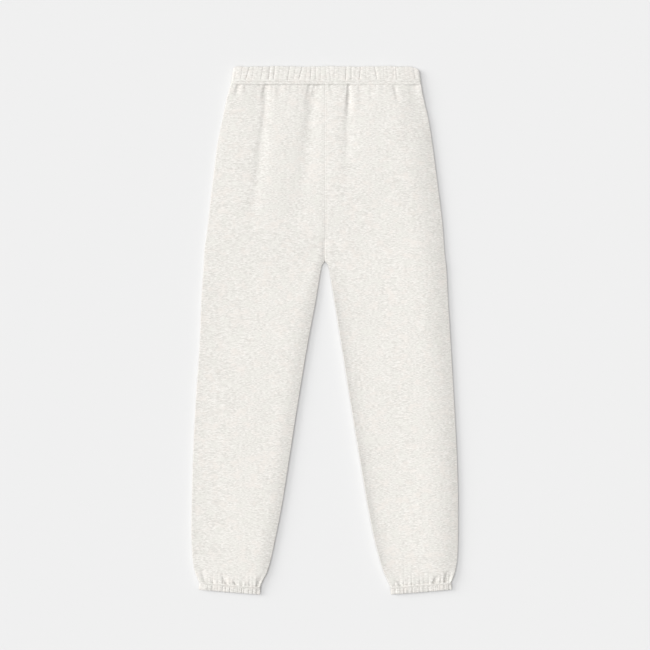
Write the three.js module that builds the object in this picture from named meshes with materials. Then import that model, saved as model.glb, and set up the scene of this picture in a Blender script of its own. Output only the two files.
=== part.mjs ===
// Jogger sweatpants laid flat with the back of the garment up. Each leg is a front panel that lies on
// the surface and a back panel that lies on it, both rolled up at the outline to meet at the seams.
// The waistband and the hems are gathered casings with elastic inside, each in a back and a front half.
// Millimetres. x runs across from the centre back seam, y runs up from the hems to the waist, z is up.
// "down" is a distance below the top edge of the waistband, and "across" one from the centre seam.

import * as THREE from "three";

// Cloth and seams
const CLOTH = 2.8; // heavy brushed fleece
const SEAM_GAP = 0.3; // between two pieces at a seam
const CLEAR = SEAM_GAP / 2;
const ROLL_RADIUS = 3.3; // outside of the rolled edge at the side seam and inseam
const CROWN_WIDTH = 44; // how far in from the roll the upper panel still rises
const CROWN_RISE = 2.83;
const CROWN_POWER = 2.6;
const ROLL_END = Math.PI / 2 - Math.atan((CROWN_POWER * CROWN_RISE) / CROWN_WIDTH);
const ROLL_TOP = CLEAR + ROLL_RADIUS * (1 + Math.sin(ROLL_END));
const FLAT_TOP = ROLL_TOP + CROWN_RISE; // height of the upper panel away from its edges
const DEEPEST_FOLD = FLAT_TOP - 2 * CLOTH - 0.45; // keeps the upper panel clear of the lower one
const SEAM_DIP = 0.8; // the centre seam lies in a slight valley
const SEAM_DIP_WIDTH = 5;
const OPEN_ROLL = THREE.MathUtils.degToRad(75); // where an edge's roll starts when it butts at the centre seam

// Waistband casing
const BAND = { height: 34.5, wall: 5.2, radius: 5.8, ease: 3, strip: 5, relief: 1.5, lift: 0.45, spread: 2.6 };
const BAND_LEFT = 188; // across, at the lower edge
const BAND_RIGHT = 192;
const BAND_LEFT_TAPER = 5; // how much narrower the top edge is
const BAND_RIGHT_TAPER = 2;

// Hem casings
const CUFF = { height: 15, wall: 4.6, radius: 5.1, ease: 2, strip: 3.2, relief: 1.5, lift: 0.45, spread: 1.7 };
const CUFF_OVERLAP = 0.5; // the casing's stretched width past the panel's at each end

// Outline. The inner end of a section lies "drop" lower than its outer end, so that hems square up to the legs.
const WAIST_SEAM = BAND.height;
const CROTCH = 391;
const HEM_SEAM = 1032;
const OUTLINE = [
  { down: 34, outerLeft: 188, outerRight: 192, innerLeft: 0, innerRight: 0, drop: 0 },
  { down: 67, outerLeft: 197, outerRight: 198, innerLeft: 0, innerRight: 0, drop: 0 },
  { down: 107, outerLeft: 205, outerRight: 207, innerLeft: 0, innerRight: 0, drop: 0 },
  { down: 151, outerLeft: 214, outerRight: 214, innerLeft: 0, innerRight: 0, drop: 0 },
  { down: 227, outerLeft: 224, outerRight: 224, innerLeft: 0, innerRight: 0, drop: 0 },
  { down: 317, outerLeft: 234, outerRight: 235, innerLeft: 0, innerRight: 0, drop: 0 },
  { down: CROTCH, outerLeft: 242, outerRight: 241, innerLeft: 0, innerRight: 0, drop: 0 },
  { down: 395, outerLeft: 242, outerRight: 242, innerLeft: 5, innerRight: 5, drop: 0 },
  { down: 407, outerLeft: 243, outerRight: 243, innerLeft: 8, innerRight: 8, drop: 0 },
  { down: 467, outerLeft: 247, outerRight: 246, innerLeft: 18, innerRight: 18, drop: 0 },
  { down: 547, outerLeft: 250, outerRight: 251, innerLeft: 33, innerRight: 31, drop: 0 },
  { down: 667, outerLeft: 258, outerRight: 258, innerLeft: 53, innerRight: 50, drop: 0 },
  { down: 787, outerLeft: 264, outerRight: 264, innerLeft: 72, innerRight: 70, drop: 2.5 },
  { down: 867, outerLeft: 266, outerRight: 266, innerLeft: 85, innerRight: 84, drop: 5 },
  { down: 927, outerLeft: 267, outerRight: 266, innerLeft: 97, innerRight: 96, drop: 7 },
  { down: 977, outerLeft: 265, outerRight: 265, innerLeft: 108, innerRight: 109, drop: 8.5 },
  { down: 1001, outerLeft: 262, outerRight: 262, innerLeft: 115, innerRight: 117, drop: 9.5 },
  { down: 1021, outerLeft: 256, outerRight: 257, innerLeft: 125, innerRight: 126, drop: 10 },
  { down: HEM_SEAM, outerLeft: 251, outerRight: 252, innerLeft: 129, innerRight: 131, drop: 10 },
];

// Where the inner edge begins to turn from a butted centre seam into a rolled inseam
const ROLL_FROM = 300;

// Folds of the upper panels: troughs that fade from (across, down) towards (toAcross, toDown)
const PANEL_FOLDS = [
  { across: -174, down: 38, toAcross: -177, toDown: 62, width: 5, depth: 1.1 },
  { across: -156, down: 38, toAcross: -160, toDown: 64, width: 5, depth: 0.7 },
  { across: -119, down: 38, toAcross: -126, toDown: 78, width: 4, depth: 1.5 },
  { across: -119, down: 38, toAcross: -158, toDown: 330, width: 9, depth: 1.6 },
  { across: -90, down: 38, toAcross: -92, toDown: 76, width: 5, depth: 0.8 },
  { across: -66, down: 38, toAcross: -69, toDown: 66, width: 5, depth: 0.6 },
  { across: -35, down: 38, toAcross: -37, toDown: 80, width: 4, depth: 0.9 },
  { across: -35, down: 38, toAcross: -56, toDown: 215, width: 9, depth: 1.5 },
  { across: -20, down: 38, toAcross: -23, toDown: 100, width: 6, depth: 1.0 },
  { across: 10, down: 38, toAcross: 17, toDown: 70, width: 4, depth: 0.9 },
  { across: 44, down: 38, toAcross: 42, toDown: 106, width: 4, depth: 1.8 },
  { across: 45, down: 38, toAcross: 32, toDown: 240, width: 9, depth: 1.5 },
  { across: 73, down: 38, toAcross: 70, toDown: 110, width: 6, depth: 0.9 },
  { across: 92, down: 38, toAcross: 90, toDown: 76, width: 5, depth: 0.7 },
  { across: 116, down: 38, toAcross: 113, toDown: 68, width: 5, depth: 0.7 },
  { across: 138, down: 38, toAcross: 145, toDown: 84, width: 4.5, depth: 1.2 },
  { across: 172, down: 38, toAcross: 188, toDown: 150, width: 9, depth: 0.9 },
  { across: -239, down: 1031, toAcross: -248, toDown: 1000, width: 4, depth: 0.9 },
  { across: -225, down: 1033, toAcross: -229, toDown: 1014, width: 4, depth: 0.9 },
  { across: -196, down: 1035, toAcross: -208, toDown: 1008, width: 4, depth: 1.6 },
  { across: -176, down: 1037, toAcross: -184, toDown: 1017, width: 4, depth: 1.6 },
  { across: -157, down: 1039, toAcross: -159, toDown: 1019, width: 4, depth: 1.2 },
  { across: -138, down: 1041, toAcross: -123, toDown: 1002, width: 4.5, depth: 2.2 },
  { across: 134, down: 1041, toAcross: 124, toDown: 1018, width: 4, depth: 1.0 },
  { across: 154, down: 1039, toAcross: 140, toDown: 1008, width: 4.5, depth: 1.5 },
  { across: 172, down: 1037, toAcross: 163, toDown: 1016, width: 4, depth: 1.0 },
  { across: 192, down: 1036, toAcross: 190, toDown: 1018, width: 4, depth: 1.0 },
  { across: 216, down: 1034, toAcross: 224, toDown: 1012, width: 4, depth: 1.9 },
  { across: 240, down: 1033, toAcross: 245, toDown: 1002, width: 4, depth: 2.2 },
];
const FOLD_SPREAD = 1.4; // how much wider a fold has grown where it fades out
const FOLD_EDGE = 10; // folds die away over this distance from the outline

// Valleys between the gathers of the casings. slant is how far a valley's lower end lies from its upper end.
const BAND_GATHERS = [
  { across: -171, slant: 0, depth: 0.6 },
  { across: -159, slant: -6, depth: 0.9 },
  { across: -146, slant: 0, depth: 0.4 },
  { across: -130, slant: -3, depth: 0.6 },
  { across: -115, slant: 0, depth: 1 },
  { across: -105, slant: 0, depth: 1 },
  { across: -91, slant: -2, depth: 0.5 },
  { across: -76, slant: -3, depth: 0.8 },
  { across: -64, slant: -3, depth: 0.5 },
  { across: -52, slant: -7, depth: 1 },
  { across: -40, slant: -3, depth: 0.5 },
  { across: -31, slant: 0, depth: 0.8 },
  { across: -21, slant: 0, depth: 0.7 },
  { across: -11, slant: 0, depth: 0.5 },
  { across: 1, slant: 4, depth: 0.5 },
  { across: 12, slant: 1, depth: 0.5 },
  { across: 24, slant: -1, depth: 0.4 },
  { across: 40, slant: -2, depth: 1 },
  { across: 51, slant: 0, depth: 1 },
  { across: 68, slant: -5, depth: 0.9 },
  { across: 81, slant: 0, depth: 0.5 },
  { across: 101, slant: 5, depth: 1 },
  { across: 116, slant: 0, depth: 0.5 },
  { across: 129, slant: -3, depth: 0.5 },
  { across: 141, slant: 0, depth: 0.6 },
  { across: 157, slant: 0, depth: 0.4 },
  { across: 176, slant: 1, depth: 0.5 },
];
// The hems hang upside down from their seams, so across runs the other way in these two.
const LEFT_CUFF_GATHERS = [
  { across: -54, slant: 0, depth: 1 },
  { across: -47, slant: -1, depth: 1 },
  { across: -39, slant: 0, depth: 0.7 },
  { across: -32, slant: 0, depth: 0.6 },
  { across: -25, slant: 0, depth: 0.8 },
  { across: -16, slant: 0, depth: 0.6 },
  { across: -10, slant: 1, depth: 0.6 },
  { across: -1, slant: 0, depth: 0.9 },
  { across: 7, slant: 0, depth: 0.6 },
  { across: 14, slant: 0, depth: 0.8 },
  { across: 24, slant: 1, depth: 0.7 },
  { across: 34, slant: 0, depth: 0.6 },
];
const RIGHT_CUFF_GATHERS = [
  { across: -55, slant: 0, depth: 1 },
  { across: -47, slant: 0, depth: 0.9 },
  { across: -39, slant: 0, depth: 0.6 },
  { across: -33, slant: 0, depth: 0.6 },
  { across: -25, slant: 1, depth: 1 },
  { across: -15, slant: 0, depth: 0.7 },
  { across: -5, slant: 0, depth: 0.8 },
  { across: 11, slant: 0, depth: 0.8 },
  { across: 18, slant: -1, depth: 0.6 },
  { across: 25, slant: -1, depth: 0.6 },
  { across: 34, slant: -1, depth: 0.8 },
  { across: 42, slant: -1, depth: 0.7 },
  { across: 50, slant: -1, depth: 0.5 },
];

// How finely the solids follow the form
const ROLL_STEPS = 3;
const BACK_COLUMNS = 20;
const FRONT_COLUMNS = 8;
const BACK_STRETCHES = [
  { to: 74, steps: 5 },
  { to: 150, steps: 4 },
  { to: 330, steps: 4 },
  { to: CROTCH, steps: 3 },
  { to: 407, steps: 3 },
  { to: 547, steps: 2 },
  { to: 927, steps: 5 },
  { to: 1001, steps: 4 },
  { to: HEM_SEAM, steps: 5 },
];
const FRONT_STRETCHES = [
  { to: 150, steps: 3 },
  { to: 330, steps: 3 },
  { to: CROTCH, steps: 3 },
  { to: 407, steps: 3 },
  { to: 547, steps: 2 },
  { to: 927, steps: 5 },
  { to: HEM_SEAM, steps: 6 },
];
const BAND_TURN_STEPS = 3;

const FLEECE = { color: 0xefece6, roughness: 0.95, metalness: 0 };

// The value of a named column at a distance down the garment, on a curve that never overshoots its rows.
function along(rows, name, down) {
  const last = rows.length - 1;
  const at = THREE.MathUtils.clamp(down, rows[0].down, rows[last].down);
  let i = rows.findIndex((row, k) => k < last && at <= rows[k + 1].down);
  if (i < 0) i = last - 1;
  const slope = (k) => (rows[k + 1][name] - rows[k][name]) / (rows[k + 1].down - rows[k].down);
  const tangent = (k) => {
    if (k === 0) return slope(0);
    if (k === last) return slope(last - 1);
    const before = slope(k - 1);
    const after = slope(k);
    return before * after > 0 ? (2 * before * after) / (before + after) : 0;
  };
  const span = rows[i + 1].down - rows[i].down;
  const t = (at - rows[i].down) / span;
  const startPull = t * (1 - t) * (1 - t) * span * tangent(i);
  const endPull = t * t * (t - 1) * span * tangent(i + 1);
  const ease = t * t * (3 - 2 * t);
  return THREE.MathUtils.lerp(rows[i][name], rows[i + 1][name], ease) + startPull + endPull;
}

// Depth of all panel folds at a place, as a height that is zero or below.
function foldHeight(across, down) {
  let height = 0;
  for (const fold of PANEL_FOLDS) {
    const run = new THREE.Vector2(fold.toAcross - fold.across, fold.toDown - fold.down);
    const from = new THREE.Vector2(across - fold.across, down - fold.down);
    const share = THREE.MathUtils.clamp(from.dot(run) / run.lengthSq(), 0, 1);
    const aside = from.addScaledVector(run, -share).length();
    const width = fold.width * (1 + FOLD_SPREAD * share);
    height -= fold.depth * (1 - share * share) * Math.exp(-((aside / width) ** 2));
  }
  return -DEEPEST_FOLD * Math.tanh(-height / DEEPEST_FOLD);
}

function crown(distance) {
  const left = 1 - Math.min(distance / CROWN_WIDTH, 1);
  return CROWN_RISE * (1 - left ** CROWN_POWER);
}

// A section through one panel, from its outer edge to its inner one. Each point has its distance from the
// outer edge, its height, the outward normal in the section, and how fully folds show there.
// roll is 1 where the inner edge rolls down to an inseam and 0 where it butts at the centre seam.
function panelSection(width, roll, upper, columns) {
  const radius = upper ? ROLL_RADIUS : ROLL_RADIUS - CLEAR;
  const outerTop = upper ? ROLL_END : Math.PI / 2;
  const innerTop = upper ? THREE.MathUtils.lerp(Math.PI / 2, ROLL_END, roll) : Math.PI / 2;
  const innerFoot = OPEN_ROLL * (1 - roll);
  const outerRun = radius * (1 - Math.cos(outerTop));
  const innerRun = radius * (Math.cos(innerFoot) - Math.cos(innerTop));
  const face = upper ? 1 : -1;
  const height = (distance) => {
    if (!upper) return 0;
    const inside = width - innerRun - distance;
    const dip = (1 - roll) * SEAM_DIP * Math.exp(-((inside / SEAM_DIP_WIDTH) ** 2));
    return ROLL_TOP + crown(distance - outerRun) + roll * (crown(inside) - CROWN_RISE) - dip;
  };
  const points = [];
  for (let i = 0; i <= ROLL_STEPS; i++) {
    const angle = (outerTop * i) / ROLL_STEPS;
    const drop = face * radius * (Math.sin(outerTop) - Math.sin(angle));
    points.push({
      distance: radius * (1 - Math.cos(angle)),
      height: height(outerRun) - drop,
      normal: [-Math.cos(angle), face * Math.sin(angle)],
      folds: 0,
    });
  }
  for (let i = 1; i < columns; i++) {
    const distance = THREE.MathUtils.lerp(outerRun, width - innerRun, i / columns);
    const fromOuter = THREE.MathUtils.smoothstep(distance, outerRun, outerRun + FOLD_EDGE);
    const fromInner = THREE.MathUtils.smoothstep(width - distance, innerRun, innerRun + FOLD_EDGE);
    points.push({ distance, height: height(distance), normal: [0, face], folds: fromOuter * fromInner });
  }
  for (let i = ROLL_STEPS; i >= 0; i--) {
    const angle = THREE.MathUtils.lerp(innerFoot, innerTop, i / ROLL_STEPS);
    const drop = face * radius * (Math.sin(innerTop) - Math.sin(angle));
    points.push({
      distance: width - radius * (Math.cos(innerFoot) - Math.cos(angle)),
      height: height(width - innerRun) - drop,
      normal: [Math.cos(angle), face * Math.sin(angle)],
      folds: 0,
    });
  }
  return points;
}

// Distances down the garment at which sections are taken.
function sectionDowns(stretches) {
  const downs = [WAIST_SEAM + SEAM_GAP];
  for (const { to, steps } of stretches) {
    const from = downs[downs.length - 1];
    const end = to === HEM_SEAM ? HEM_SEAM - SEAM_GAP : to;
    for (let i = 1; i <= steps; i++) downs.push(THREE.MathUtils.lerp(from, end, i / steps));
  }
  return downs;
}

// The two ends of the section line of one leg. side is -1 for the leg on the left and 1 for the other.
function sectionEnds(side, down) {
  const outer = along(OUTLINE, side < 0 ? "outerLeft" : "outerRight", down);
  const inner = Math.max(CLEAR, along(OUTLINE, side < 0 ? "innerLeft" : "innerRight", down));
  const drop = along(OUTLINE, "drop", down);
  return {
    outer: new THREE.Vector2(side * outer, -down),
    inner: new THREE.Vector2(side * inner, -down - drop),
  };
}

// A closed solid between two grids of points. The outer grid faces out when its rows and columns turn right-handed.
function wallGeometry(outerRows, innerRows, flip) {
  const rows = outerRows.length;
  const columns = outerRows[0].length;
  const positions = [];
  for (const grid of [outerRows, innerRows]) {
    for (const row of grid) for (const point of row) positions.push(point.x, point.y, point.z);
  }
  const outer = (i, j) => i * columns + j;
  const inner = (i, j) => rows * columns + i * columns + j;
  const index = [];
  const quad = (a, b, c, d) => {
    if (flip) index.push(a, c, b, a, d, c);
    else index.push(a, b, c, a, c, d);
  };
  for (let i = 0; i < rows - 1; i++) {
    for (let j = 0; j < columns - 1; j++) {
      quad(outer(i, j), outer(i + 1, j), outer(i + 1, j + 1), outer(i, j + 1));
      quad(inner(i, j), inner(i, j + 1), inner(i + 1, j + 1), inner(i + 1, j));
    }
    quad(outer(i + 1, 0), outer(i, 0), inner(i, 0), inner(i + 1, 0));
    quad(outer(i, columns - 1), outer(i + 1, columns - 1), inner(i + 1, columns - 1), inner(i, columns - 1));
  }
  for (let j = 0; j < columns - 1; j++) {
    quad(outer(0, j), outer(0, j + 1), inner(0, j + 1), inner(0, j));
    quad(outer(rows - 1, j + 1), outer(rows - 1, j), inner(rows - 1, j), inner(rows - 1, j + 1));
  }
  const geometry = new THREE.BufferGeometry();
  geometry.setAttribute("position", new THREE.Float32BufferAttribute(positions, 3));
  geometry.setIndex(index);
  geometry.computeVertexNormals();
  return geometry;
}

// One panel of one leg. The upper one is the back of the garment, and the lower one lies on the surface.
function panelMesh(name, side, upper) {
  const outerRows = [];
  const innerRows = [];
  for (const down of sectionDowns(upper ? BACK_STRETCHES : FRONT_STRETCHES)) {
    const ends = sectionEnds(side, down);
    const line = ends.inner.clone().sub(ends.outer);
    const width = line.length();
    line.normalize();
    const roll = THREE.MathUtils.smoothstep(down, ROLL_FROM, CROTCH);
    const outerRow = [];
    const innerRow = [];
    for (const point of panelSection(width, roll, upper, upper ? BACK_COLUMNS : FRONT_COLUMNS)) {
      const place = ends.outer.clone().addScaledVector(line, point.distance);
      const fold = upper ? point.folds * foldHeight(place.x, -place.y) : 0;
      const outer = new THREE.Vector3(place.x, place.y, point.height + fold);
      const normal = new THREE.Vector3(line.x * point.normal[0], line.y * point.normal[0], point.normal[1]);
      outerRow.push(outer);
      innerRow.push(outer.clone().addScaledVector(normal, -CLOTH));
    }
    outerRows.push(outerRow);
    innerRows.push(innerRow);
  }
  const flip = upper ? side > 0 : side < 0;
  const mesh = new THREE.Mesh(
    wallGeometry(outerRows, innerRows, flip),
    new THREE.MeshStandardMaterial(FLEECE),
  );
  mesh.name = name;
  return mesh;
}

// The closed section of a casing: how high up the casing each point lies, how far out of the plain inside,
// and how fully the gathers show there.
function casingSection({ height, wall, ease, strip }) {
  const stitched = wall - 0.6; // the stitched strip lies a little lower than the gathers
  return [
    { up: 0, out: wall * 0.35, gathers: 0 },
    { up: 0.6, out: stitched * 0.85, gathers: 0.1 },
    { up: strip * 0.55, out: stitched, gathers: 0.15 },
    { up: strip * 1.3, out: wall, gathers: 0.9 },
    { up: height * 0.6, out: wall, gathers: 1 },
    { up: height - ease, out: wall * 0.93, gathers: 1 },
    { up: height - ease * 0.25, out: wall * 0.7, gathers: 0.6 },
    { up: height, out: wall * 0.4, gathers: 0 },
    { up: height - ease * 0.4, out: wall * 0.1, gathers: 0 },
    { up: height - ease * 1.3, out: 0, gathers: 0 },
    { up: ease * 0.7, out: 0, gathers: 0 },
  ];
}

// Where columns of points are taken across the upper half of a casing: at each valley, on its two flanks
// and on the ridges between, with each column as slanted as the valley it belongs to.
function casingColumns(gathers, from, to, spread) {
  const columns = [{ across: from, slant: 0 }];
  gathers.forEach((gather, i) => {
    const next = gathers[i + 1] ?? { across: to, slant: 0 };
    const room = Math.min(gather.across - columns[columns.length - 1].across, next.across - gather.across);
    const flank = Math.min(spread * 1.2, room * 0.3);
    columns.push({ across: gather.across - flank, slant: gather.slant });
    columns.push({ across: gather.across, slant: gather.slant });
    columns.push({ across: gather.across + flank, slant: gather.slant });
    columns.push({ across: (gather.across + next.across) / 2, slant: (gather.slant + next.slant) / 2 });
  });
  columns[columns.length - 1] = { across: to, slant: 0 };
  return columns;
}

function gatherRelief(gathers, across, share, { relief, lift, spread }) {
  let out = lift;
  for (const { across: valley, slant, depth } of gathers) {
    const aside = across - (valley + slant * (0.5 - share));
    out -= relief * depth * Math.exp(-((aside / spread) ** 2));
  }
  return Math.max(out, lift - relief);
}

// One half of a flattened casing ring, whose lower edge is y = 0 and whose ends lie at x = left and x = right.
// It runs up round one end, across, and down round the other; the front half is the same turned under, and plain.
function casingGeometry(size, gathers, left, right, leftTaper, rightTaper, upper) {
  const { height, wall, radius } = size;
  const reach = radius - CLEAR;
  const section = casingSection(size);
  const path = [];
  const turn = (centre, side, k) => {
    const angle = (Math.PI / 2) * (k / BAND_TURN_STEPS);
    path.push({ across: centre + side * radius * Math.cos(angle), slant: 0, side, angle });
  };
  const plain = Array.from({ length: 9 }, (_, i) => ({
    across: THREE.MathUtils.lerp(left + radius, right - radius, i / 8),
    slant: 0,
  }));
  const run = upper ? casingColumns(gathers, left + radius, right - radius, size.spread) : plain;
  for (let k = 0; k < BAND_TURN_STEPS; k++) turn(left + radius, -1, k);
  for (const column of run) path.push({ ...column, side: 0, angle: Math.PI / 2 });
  for (let k = BAND_TURN_STEPS - 1; k >= 0; k--) turn(right - radius, 1, k);

  const positions = [];
  for (const { across, slant, side, angle } of path) {
    for (const { up, out, gathers: show } of section) {
      const share = up / height;
      const slanted = across + slant * (0.5 - share);
      const relief = upper && side === 0 ? show * gatherRelief(gathers, slanted, share, size) : 0;
      const inward = wall - out - relief;
      const x = slanted - side * inward * Math.cos(angle);
      const z = CLEAR + reach * Math.sin(angle) - inward * Math.sin(angle);
      const taper = THREE.MathUtils.lerp(leftTaper, -rightTaper, (x - left) / (right - left));
      positions.push(x + share * taper, up, radius + (upper ? z : -z));
    }
  }
  const count = section.length;
  const index = [];
  const triangle = (a, b, c) => (upper ? index.push(a, b, c) : index.push(a, c, b));
  for (let i = 0; i < path.length - 1; i++) {
    for (let j = 0; j < count; j++) {
      const here = i * count + j;
      const above = i * count + ((j + 1) % count);
      triangle(here, here + count, above + count);
      triangle(here, above + count, above);
    }
  }
  const end = (path.length - 1) * count;
  for (let j = 1; j < count - 1; j++) {
    triangle(0, j, j + 1);
    triangle(end, end + j + 1, end + j);
  }
  const geometry = new THREE.BufferGeometry();
  geometry.setAttribute("position", new THREE.Float32BufferAttribute(positions, 3));
  geometry.setIndex(index);
  geometry.computeVertexNormals();
  return geometry;
}

function waistbandMesh(name, upper) {
  const mesh = new THREE.Mesh(
    casingGeometry(BAND, BAND_GATHERS, -BAND_LEFT, BAND_RIGHT, BAND_LEFT_TAPER, BAND_RIGHT_TAPER, upper),
    new THREE.MeshStandardMaterial(FLEECE),
  );
  mesh.name = name;
  mesh.position.y = -WAIST_SEAM;
  return mesh;
}

// A hem casing lies along the last section line of its leg, turned with it about the vertical.
function cuffMesh(name, side, upper) {
  const { outer, inner } = sectionEnds(side, HEM_SEAM);
  const [left, right] = side < 0 ? [outer, inner] : [inner, outer];
  const half = left.distanceTo(right) / 2 + CUFF_OVERLAP;
  const gathers = side < 0 ? LEFT_CUFF_GATHERS : RIGHT_CUFF_GATHERS;
  const mesh = new THREE.Mesh(
    casingGeometry(CUFF, gathers, -half, half, 0, 0, upper).rotateZ(Math.PI),
    new THREE.MeshStandardMaterial(FLEECE),
  );
  mesh.name = name;
  mesh.position.set((left.x + right.x) / 2, (left.y + right.y) / 2, 0);
  mesh.rotation.z = Math.atan2(right.y - left.y, right.x - left.x);
  return mesh;
}

const trousers = new THREE.Group();
trousers.add(
  panelMesh("back_panel_left", -1, true),
  panelMesh("back_panel_right", 1, true),
  panelMesh("front_panel_left", -1, false),
  panelMesh("front_panel_right", 1, false),
  waistbandMesh("waistband_back", true),
  waistbandMesh("waistband_front", false),
  cuffMesh("cuff_left_back", -1, true),
  cuffMesh("cuff_left_front", -1, false),
  cuffMesh("cuff_right_back", 1, true),
  cuffMesh("cuff_right_front", 1, false),
);

// The origin is on the surface, under the middle of the garment's outline.
const extent = new THREE.Box3().setFromObject(trousers);
const middle = extent.getCenter(new THREE.Vector3());
trousers.position.set(-middle.x, -middle.y, -extent.min.z);

export default trousers;
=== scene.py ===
import math

import bmesh
import bpy
import numpy as np
from mathutils import Matrix, Vector


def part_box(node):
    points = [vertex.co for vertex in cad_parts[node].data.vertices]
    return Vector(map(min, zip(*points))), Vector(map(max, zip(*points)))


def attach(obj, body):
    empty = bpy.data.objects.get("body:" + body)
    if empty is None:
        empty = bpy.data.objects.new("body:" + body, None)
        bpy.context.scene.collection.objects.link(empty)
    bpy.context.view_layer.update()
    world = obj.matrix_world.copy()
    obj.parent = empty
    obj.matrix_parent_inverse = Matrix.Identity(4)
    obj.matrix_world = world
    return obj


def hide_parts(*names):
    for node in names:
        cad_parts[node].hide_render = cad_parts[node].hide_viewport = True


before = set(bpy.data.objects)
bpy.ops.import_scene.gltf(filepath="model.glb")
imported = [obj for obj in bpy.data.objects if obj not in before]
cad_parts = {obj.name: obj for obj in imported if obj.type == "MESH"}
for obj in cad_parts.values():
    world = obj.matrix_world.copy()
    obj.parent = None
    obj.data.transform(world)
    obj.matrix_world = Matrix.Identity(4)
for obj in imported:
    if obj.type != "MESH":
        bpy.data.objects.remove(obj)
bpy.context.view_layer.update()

# Sizes here are in millimetres, measured across from the centre seam, down from the top of the
# waistband and up from the surface that the trousers lie on. MM turns them into the frame's metres.
MM = 0.001
SEAM_X = (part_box("back_panel_left")[1].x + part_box("back_panel_right")[0].x) / 2
TOP_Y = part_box("waistband_back")[1].y

CLEAR = 0.15  # from a seam to the cloth on each side of it
CLOTH = 2.4  # brushed fleece
RIM = 0.0002  # the share of a sheet's length in its first and last rows, which keeps its rim's shade narrow
EDGE_COLUMNS = (0.06, 4.0)  # the share of a panel's columns in each rolled edge, and how far they reach
SIDE_SEAM_HEIGHT = 3.3  # how high the back and front panels meet
BAND_HEIGHT = 34.5
CROTCH = 391
CENTRE_SEAM_END = (CROTCH - 16, CROTCH + 12)  # between these the inner edges part and roll in
HEM = 1032
INNER_LEAST = 0.02  # how close to the line of the centre seam a panel starts
EDGE_HOLD = (1, 12)  # folds and grooves grow between these distances from an edge

# The outline, a row for each section. drop is how much lower the inner end of a section lies.
OUTLINE_COLUMNS = ("down", "outer_left", "outer_right", "inner_left", "inner_right", "drop")
OUTLINE = np.array(
    [
        (34, 188, 192, 0, 0, 0),
        (67, 197, 198, 0, 0, 0),
        (107, 205, 207, 0, 0, 0),
        (151, 214, 214, 0, 0, 0),
        (227, 224, 224, 0, 0, 0),
        (317, 234, 235, 0, 0, 0),
        (CROTCH, 242, 241, 0, 0, 0),
        (395, 242, 242, 5, 5, 0),
        (407, 243, 243, 8, 8, 0),
        (467, 247, 246, 18, 18, 0),
        (547, 250, 251, 33, 31, 0),
        (667, 258, 258, 53, 50, 0),
        (787, 264, 264, 72, 70, 2.5),
        (867, 266, 266, 85, 84, 5),
        (927, 267, 266, 97, 96, 7),
        (977, 265, 265, 108, 109, 8.5),
        (1001, 262, 262, 115, 117, 9.5),
        (1021, 256, 257, 125, 126, 10),
        (HEM, 251, 252, 129, 131, 10),
    ],
    float,
)

# How the upper cloth falls to each edge, at distances down: the width of the rolled edge itself, the
# width over which the cloth slopes down to it, and the share of the drop that the slope takes.
EDGES = {
    "outer_left": (
        (34, 3.0, 24, 0.1), (110, 1.2, 80, 0.45), (320, 1.0, 60, 0.12), (450, 1.0, 30, 0.0),
        (990, 1.0, 30, 0.0), (HEM, 3.0, 14, 0.1),
    ),
    "outer_right": (
        (34, 2.0, 40, 0.32), (90, 0.6, 66, 0.7), (300, 0.6, 64, 0.76), (990, 0.6, 62, 0.76),
        (HEM, 3.0, 24, 0.3),
    ),
    "inner_left": ((380, 0.8, 16, 0.6), (470, 0.6, 34, 0.56), (980, 0.6, 36, 0.56), (HEM, 3.0, 18, 0.3)),
    "inner_right": ((380, 1.0, 26, 0.0), (980, 1.0, 26, 0.0), (HEM, 3.0, 16, 0.1)),
}  # fmt: skip
EDGE_POWER = 2.2  # how evenly a slope sinks: more is steeper at its foot

# How high the upper cloth lies above the side seams, as if it ran level to each edge: (down, height)
LOFT = {
    "outer_left": ((34, 8.15), (60, 7.2), (120, 5.0), (CROTCH, 4.2), (500, 4.0), (980, 4.2), (HEM, 6.6)),
    "outer_right": ((34, 8.15), (60, 9.4), (120, 11.5), (CROTCH, 12.0), (960, 11.8), (1010, 9.4), (HEM, 6.6)),
    "inner_left": ((34, 8.15), (100, 9.2), (250, 8.8), (CROTCH, 4.4), (480, 8.2), (960, 8.2), (HEM, 6.6)),
    "inner_right": ((34, 8.15), (100, 9.2), (250, 8.8), (CROTCH, 3.6), (480, 5.0), (960, 5.2), (HEM, 6.6)),
}

# The edges where the seam's turned-in cloth makes a ridge: its height above the cloth beside it, and
# how soon it sinks away from the edge
RIDGES = {
    "outer_left": (0.7, 10),
    "outer_right": (0.0, 10),
    "inner_left": (0.0, 10),
    "inner_right": (4.2, 11),
}
RIDGE_START, RIDGE_END = (360, 480), (980, HEM)  # where the ridges rise below the hip and sink at the hem

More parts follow.
